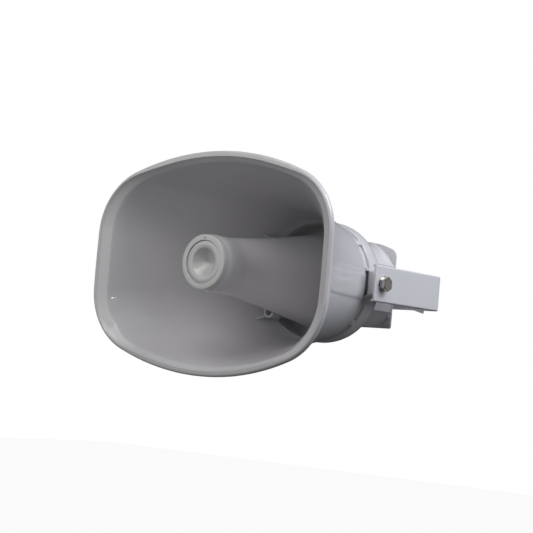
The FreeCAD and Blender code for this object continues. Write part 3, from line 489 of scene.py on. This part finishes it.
def flare_stations():
    """The wall's outline, from the rear edge along the inside to the lip and back outside."""
    rows = []

    def row(lip, grow, reach, outer=0, band=0):
        rows.append((lip, grow, reach, outer, band))

    row(0, 0.0, flare_rear)
    row(0, -0.2, neck_front + 0.05)
    for i in range(8):
        ease = math.cos(math.pi / 2 * i / 8) ** 2
        row(0, -neck_step * ease, neck_front - neck_run * i / 8)
    for reach in spaced(neck_front - neck_run, crease, 50):
        row(0, 0.0, reach)
    for share in (0.04, 0.12, 0.28, 0.46, 0.64, 0.8, 0.9, 0.96):
        row(share ** 2, bevel * share, crease + (mouth_front - crease) * share, band=1)
    row(1, bevel + 0.05, mouth_front + 0.06, band=1)
    for a in spaced(0, math.pi / 2, 7):
        row(1, lip_width - front_roll * (1 - math.sin(a)),
            mouth_front + front_roll * (1 - math.cos(a)))
    for a in spaced(0, math.pi / 2, 6):
        row(1, lip_width - back_roll * (1 - math.cos(a)), lip_back - back_roll * (1 - math.sin(a)))
    row(0, wall + fillet, lip_back)
    row(0, wall + fillet_middle, lip_back + fillet_middle)
    row(0, wall, lip_back + fillet)
    for reach in spaced(lip_back + 1.5 * fillet, flare_rear, 115):
        row(0, wall, reach, outer=1)
    return rows


def flare_grower():
    g = Grower("flare sweep", {"Around": "Int", **dict.fromkeys(flare_inputs, "Float")})
    rear = g.input("Rear radius")
    sweep = g.input("Mouth sweep")
    count = g.node("GeometryNodeAttributeDomainSize", inputs={0: g.seed})
    grid = g.node("GeometryNodeMeshGrid", inputs={
        "Size X": 1.0, "Size Y": 1.0, "Vertices X": g.input("Around"), "Vertices Y": count})
    place = g.node("ShaderNodeSeparateXYZ", inputs={0: g.node("GeometryNodeInputPosition")})
    along = g.sibling(place, 1) + 0.5
    quarter = (place + 0.5) * 4
    index = g.math("ROUND", along * (count - 1))

    def station(name):
        return g.node("GeometryNodeSampleIndex", {"data_type": "FLOAT"}, {
            "Geometry": g.seed, "Value": g.field(name), "Index": index})

    lip, grow, reach, outer, band = [station(name) for name in station_fields]
    share_round = 1 - abs(1 - g.math("MODULO", quarter, 2.0))
    side = g.math("SIGN", g.math("COSINE", quarter * (math.pi / 2)))
    top = g.math("SIGN", g.math("SINE", quarter * (math.pi / 2)))

    def blend(name, share):
        return rear + (g.input(name) - g.input("Lip width") - rear) * share

    def section(wide, high):
        """Place on a section and its normal, a share of the way round a quarter of it."""
        side_radius = blend("Side radius", wide)
        top_radius = blend("Top radius", high)
        corner_radius = blend("Corner radius", wide)
        side_x = blend("Half width", wide) - side_radius
        top_z = blend("Half height", high) - top_radius
        near = top_radius - corner_radius
        far = side_radius - corner_radius
        gap = side_x * side_x + top_z * top_z
        between = g.math("SQRT", gap)
        reach_along = (near * near - far * far + gap) / (2 * between)
        off = g.math("SQRT", g.math("MAXIMUM", near * near - reach_along * reach_along, 0.0))
        corner_x = (reach_along * side_x - off * top_z) / between
        corner_z = top_z - (reach_along * top_z + off * side_x) / between
        side_turn = g.math("ARCTAN2", corner_z, corner_x - side_x)
        top_turn = g.math("ARCTAN2", corner_z - top_z, corner_x)
        side_run = side_radius * side_turn
        corner_run = corner_radius * (top_turn - side_turn)
        run = share_round * (side_run + corner_run + top_radius * (math.pi / 2 - top_turn))
        past_side = g.math("MAXIMUM", run - side_run, 0.0)
        past_corner = g.math("MAXIMUM", past_side - corner_run, 0.0)
        direction = (run - past_side) / side_radius + (past_side - past_corner) / corner_radius
        direction = direction + past_corner / top_radius
        on_side = run < side_run
        on_top = past_corner > 0
        on_corner = 1 - on_side - on_top
        across = g.math("COSINE", direction)
        up = g.math("SINE", direction)
        radius = on_side * side_radius + on_top * top_radius + on_corner * corner_radius + grow
        x = on_side * side_x + on_corner * corner_x + radius * across
        z = on_top * top_z + on_corner * corner_z + radius * up
        return x, z, across, up

    def eased(share, kind):
        """How far a section has grown to the mouth's size at a share of the length."""
        slope = g.input(kind + " slope")
        return slope * share + (1 - slope) * share ** g.input(kind + " power")

    # The mouth's sides reach further forward than its middle.
    length = flare_rear - mouth_front
    mouth_x = section(1.0, 1.0)[0] / g.input("Half width")
    grow = grow * (1 - (1 - bevel_middle) * band * (1 - g.smooth(mouth_x, *bevel_fade)))
    weight = g.math("MAXIMUM", lip, (flare_rear - reach) / length)
    y = reach - weight * sweep * mouth_x * mouth_x
    depth = flare_rear - y
    wide = lip + (1 - lip) * depth / (length + sweep)
    high = lip + (1 - lip) * depth / length
    x, z, across, up = section(eased(wide, "Width"), eased(high, "Height"))

    level = z * top
    edge = land_top - depth * (land_fall / (flare_rear - lip_back + mouth_sweep))
    land = g.smooth(level, *land_bottom) * (1 - g.smooth(level - edge, *land_edge))
    shoulder = g.smooth(level, *shoulder_bottom) * (1 - g.smooth(level, *shoulder_top))
    shoulder = shoulder * (1 - g.smooth(depth, *shoulder_end))
    rise = g.math("MAXIMUM", land * g.input("Land rise"), shoulder * g.input("Shoulder rise"))
    rise = rise * outer * (across > 0.5)
    point = g.node("ShaderNodeCombineXYZ", inputs={
        "X": (x + rise * across) * side * mm, "Y": (y - setback) * mm,
        "Z": (z + rise * up) * top * mm})
    shell = g.node("GeometryNodeSetPosition", inputs={"Geometry": grid, "Position": point})
    shell = g.node("GeometryNodeMergeByDistance", inputs={"Geometry": shell, "Distance": 0.01 * mm})
    return g.end(shell)


def face_outwards(mesh):
    shape = bmesh.new()
    shape.from_mesh(mesh)
    bmesh.ops.recalc_face_normals(shape, faces=shape.faces)
    shape.to_mesh(mesh)
    shape.free()


rows = flare_stations()
rows.append(rows[0])
stations = seeds("flare stations", [(0, 0, 0)] * len(rows), **dict(zip(station_fields, zip(*rows))))
flare = flare_grower().grow(
    "flare", stations, around=433, rear_radius=rear_radius, lip_width=lip_width,
    mouth_sweep=mouth_sweep, width_slope=0.45, width_power=2.5, height_slope=0.8, height_power=3.0,
    land_rise=0.8, shoulder_rise=0.6, finish=finishes["horn_plastic"], **mouth)
face_outwards(flare.data)
smooth(flare.data, 28)
settle(flare, hides="horn_flare")

# Ears inside the flare's rear edge, one under each tube of the cone, with a web in front of each
tube_radius = 5.8
ear_rear = -14.0
ear_root = rear_radius + 2.2
ear = [(post_circle + x, z) for x, z in (around(tube_radius, a) for a in range(90, 271, 10))]
ear += [(ear_root, -tube_radius), (ear_root, tube_radius)]
at_posts = [(at(0, 0, 0), -a) for a in post_angles]
repeat("flare_ears", prism(ear, ear_front, ear_rear), at_posts, "horn_plastic")

web_half = 1.3
web_inner = post_circle + tube_radius + 0.4
web = [(web_inner, ear_front), (rear_radius + 2, ear_front), (rear_radius + 7, ear_front - 22),
       (web_inner, ear_front - 12)]
repeat("ear_webs", prism(web, -web_half, web_half, 2), at_posts, "horn_plastic")

# Cap in the nose: a flat rim round a deep dimple
once = [(at(0, 0, 0), 0)]
cone_front = -181.4
cap_face = -184.5
cap_radius = 20.05
cap_step = 17.2
cap = [(0, cap_face + 8.1), (0.8, cap_face + 7.9), (2.2, cap_face + 7.1), (12.5, cap_face + 0.85),
       (13.0, cap_face + 0.45), (13.4, cap_face + 0.15), (13.9, cap_face), (19.5, cap_face),
       (19.85, cap_face + 0.1), (cap_radius, cap_face + 0.4), (cap_radius, cone_front),
       (cap_step, cone_front), (cap_step, cone_front + 3), (14.4, cone_front + 3),
       (3.0, cap_face + 10.3), (0, cap_face + 10.9)]
repeat("nose_cap", wound("nose cap", cap, 144), once, "cap_plastic", hides="cone_cap", angle=24)

# Outer edge of the nose ring, flush with its face, and behind it with the cone's shoulder
ring_face = -185.4
ring_outer = 24.9
ring_round = 1.3
seam = 0.02
edge = [(ring_outer - ring_round, ring_face), (25.3, ring_face), (25.55, ring_face + 0.06),
        (25.75, ring_face + 0.22), (25.85, ring_face + 0.5), (26.34, cone_front + 2.2),
        (26.2, cone_front + 1.4), (25.82, cone_front + 0.6), (25.3, cone_front + 0.12),
        (24.7, cone_front - 2 * seam), (ring_outer + seam, cone_front - 2 * seam),
        (ring_outer + seam, ring_face + ring_round), (24.54, ring_face + 0.36)]
repeat("nose_ring_edge", wound("nose ring edge", edge, 144, closed=True), once, "cap_plastic",
       angle=24)


def coil(inner, outer, start, end, wire):
    """Rings of a winding whose outside shows each turn of the wire."""
    rings = [(inner, start)]
    count = int((end - start) / wire)
    for i in range(count):
        middle = start + (i + 0.5) * (end - start) / count
        for angle in (-60, -25, 25, 60):
            a = math.radians(angle)
            rings.append((outer - wire / 2 * (1 - math.cos(a)), middle + wire / 2 * math.sin(a)))
    return rings + [(inner, end)]


turns = coil(inner=12.85, outer=13.35, start=29.5, end=33.5, wire=0.3)
repeat("voice_coil_winding", wound("voice coil", turns, 96, closed=True), once, "copper",
       body="dome", hides="voice_coil", angle=40)

# The face of the board, and where its parts stand on it as (x, z)
board = 51.1
processor = (8, 12)
amplifier = (20, -14)
transformer = (-15, -10.5)
jack = (-16, 15)
terminals = (0, 34.5)
drums = ((28, 10.5), (20.5, 25))
cans = ((-32.5, 12), (-32.5, -10), (-21.5, -27))

turns = coil(inner=3.45, outer=4.75, start=1.05, end=3.95, wire=0.36)
repeat("inductor_windings", wound("drum winding", turns, closed=True),
       [(at(x, board, z), 0) for x, z in drums], "copper", angle=40)


def leads(x, z, width, length, across, up, spread):
    """Places of leads on the four sides of a body; across and up are how many a side has."""
    made = []
    for turn, body, count in ((0, width, up), (90, length, across), (180, width, up),
                              (270, length, across)):
        a = math.radians(turn)
        out = body / 2 - 0.05
        for i in range(count):
            along = (i - (count - 1) / 2) * spread
            dx = out * math.cos(a) + along * math.sin(a)
            dz = -out * math.sin(a) + along * math.cos(a)
            made.append((at(x + dx, board, z + dz), turn))
    return made


gull = [(0, 0.9), (0.45, 0.9), (0.75, 0.15), (1.2, 0.15), (1.2, 0.03), (0.65, 0.03), (0.35, 0.78),
        (0, 0.78)]
repeat("chip_leads", prism(gull, -0.17, 0.17, 2),
       leads(*processor, width=14, length=14, across=15, up=15, spread=0.8)
       + leads(*amplifier, width=10, length=10, across=9, up=9, spread=0.9), "zinc_steel")
tall_gull = [(0, 2.4), (0.7, 2.4), (0.95, 0.3), (1.7, 0.3), (1.7, 0.03), (0.7, 0.03), (0.5, 2.1),
             (0, 2.1)]
repeat("transformer_leads", prism(tall_gull, -0.3, 0.3, 2),
       leads(*transformer, width=15, length=12, across=8, up=0, spread=1.6), "zinc_steel")

contacts = 8
contact_pitch = 1.02
spring = [(2.4, 7.0), (2.7, 7.0), (6.6, 16.6), (6.9, 17.6), (6.6, 17.6), (6.3, 16.8)]
repeat("jack_contacts", prism(spring, -0.22, 0.22, 0),
       [(at(jack[0] + contact_pitch * (i - (contacts - 1) / 2), board, 0), 0)
        for i in range(contacts)], "brass")

# Small parts stand on a grid, outside the rooms that are taken: (x, z, half width, half height) of
# the larger pieces, the corners and four bare places. The screws of the board have no room of
# their own, so five small parts reach into their heads.
small_count = 60
small_grid = 1.3
small_room = 2.1
board_reach = 42
signs = ((1, 1), (-1, 1), (1, -1), (-1, -1))
taken = [(*jack, 9.5, 12), (*transformer, 10.5, 8.5), (*processor, 9.5, 9.5),
         (*amplifier, 9.5, 9.5), (*terminals, 6.5, 5),
         *[(*drum, 6, 6) for drum in drums], *[(*can, 5, 5) for can in cans],
         *[(a * 31, b * 30.5, 6.5, 6.5) for a, b in signs],
         *[(a * 17.7, b * 17.7, 4, 4) for a, b in signs]]
chance = random.Random(7)
small = []
while len(small) < small_count:
    x, z = chance.uniform(-36, 36), chance.uniform(-34, 40)
    free = all(abs(x - a) > w or abs(z - b) > h for a, b, w, h in taken)
    if math.hypot(x, z) < board_reach and free:
        x, z = round(x / small_grid) * small_grid, round(z / small_grid) * small_grid
        small.append((at(x, board, z), chance.choice((0, 90))))
        taken.append((x, z, small_room, small_room))
middle = [(-0.45, 0.02), (0.45, 0.02), (0.45, 0.5), (-0.45, 0.5)]
repeat("small_parts", prism(middle, -0.4, 0.4, 2), small, "component_black")
for side, name in ((-1, "small_part_ends_left"), (1, "small_part_ends_right")):
    end = [(side * 0.46, 0.02), (side * 0.8, 0.02), (side * 0.8, 0.52), (side * 0.46, 0.52)]
    repeat(name, prism(end, -0.4, 0.4, 2), small, "aluminium")

# The camera stands where the photographer stood.
cam_data = bpy.data.cameras.new("camera")
cam_data.lens = 113.32
cam_data.sensor_width = 36
cam = bpy.data.objects.new("camera", cam_data)
bpy.context.scene.collection.objects.link(cam)
cam.location = (1.0159, -1.4691, -0.1039)
cam.rotation_euler = Euler([math.radians(a) for a in (93.86900756, -5.021831, 38.25786789)])
bpy.context.scene.camera = cam
bpy.context.scene.view_settings.view_transform = "Standard"

# White room, pale floor and soft lamps: name, place, watts, size in metres and colour
ambient = 0.035
floor_level = -0.62
floor_tone = 0.1
floor_white = 0.96
lamp_aim = Vector((0, -0.15, 0))
softbox = 0.8
cool = (0.92, 0.965, 1.0)
warm = (1.0, 0.99, 0.96)
fresh = (0.99, 1.0, 0.96)
lamps = [
    ("key softbox", (1.07, -0.15, 1.19), 10.6, softbox, cool),
    ("rear key softbox", (0.82, 0.54, 1.19), 10.6, softbox, cool),
    ("rear side softbox", (1.18, 0.84, 0.41), 3.2, softbox, cool),
    ("side softbox", (1.55, -0.15, 0.41), 2.4, softbox, cool),
    ("high front softbox", (0.19, -1.2, 1.19), 5.9, softbox, warm),
    ("front softbox", (0.27, -1.67, 0.41), 2.7, softbox, fresh),
    ("low front softbox", (0.27, -1.67, -0.41), 0.8, softbox, (0.99, 1.0, 0.97)),
    ("left front softbox", (-0.77, -1.49, 0.41), 2.8, softbox, fresh),
    ("high left softbox", (-0.54, -1.08, 1.19), 2.6, softbox, warm),
    ("window", (1.19, -1.04, 0.45), 0.3, 0.07, (1.0, 0.96, 0.88)),
    ("far room", (0.86, 0.92, 0.0), 0.55, softbox, (1.0, 0.98, 0.94))]
unreflected = ("rear side softbox", "side softbox")


def light_room():
    """A world that is white to the camera and dim to everything else."""
    world = bpy.data.worlds.new("room")
    bpy.context.scene.world = world
    world.use_nodes = True
    world.node_tree.nodes.clear()
    w = Tree(world.node_tree)
    ray = w.node("ShaderNodeLightPath", out="Is Camera Ray")
    seen = w.math("MAXIMUM", ray, w.sibling(ray, "Is Transmission Ray"))
    dim = w.node("ShaderNodeBackground", inputs={
        "Color": (0.95, 0.97, 1.0, 1), "Strength": ambient})
    white = w.node("ShaderNodeBackground", inputs={"Color": (1, 1, 1, 1), "Strength": 1.0})
    out = w.tree.nodes.new("ShaderNodeOutputWorld")
    w.feed(out.inputs["Surface"], w.node("ShaderNodeMixShader", inputs={0: seen, 1: dim, 2: white}))


def lay_floor():
    """A floor that is nearly white to the camera and dark to everything else."""
    bpy.ops.mesh.primitive_plane_add(size=14, location=(0, 0, floor_level))
    floor = bpy.context.object
    floor.name = "floor"
    finish = bpy.data.materials.new("pale floor")
    finish.use_nodes = True
    t = Tree(finish.node_tree)
    ray = t.node("ShaderNodeLightPath", out="Is Camera Ray")
    shader = finish.node_tree.nodes["Principled BSDF"]
    shader.inputs["Base Color"].default_value = (floor_tone, floor_tone, floor_tone, 1)
    shader.inputs["Roughness"].default_value = 0.8
    glow = t.node("ShaderNodeEmission", inputs={"Color": (1, 1, 1, 1), "Strength": 1.0})
    both = t.node("ShaderNodeMixShader", inputs={
        0: ray * floor_white, 1: Value(t, shader.outputs[0]), 2: glow})
    t.feed(finish.node_tree.nodes["Material Output"].inputs["Surface"], both)
    floor.data.materials.append(finish)


def hang_lamps():
    for name, place, power, size, colour in lamps:
        data = bpy.data.lights.new(name, "AREA")
        data.energy = power
        data.size = size
        data.color = colour
        lamp = bpy.data.objects.new(name, data)
        bpy.context.scene.collection.objects.link(lamp)
        lamp.visible_glossy = name not in unreflected
        lamp.location = place
        lamp.rotation_euler = (lamp_aim - lamp.location).to_track_quat("-Z", "Y").to_euler()


light_room()
lay_floor()
hang_lamps()
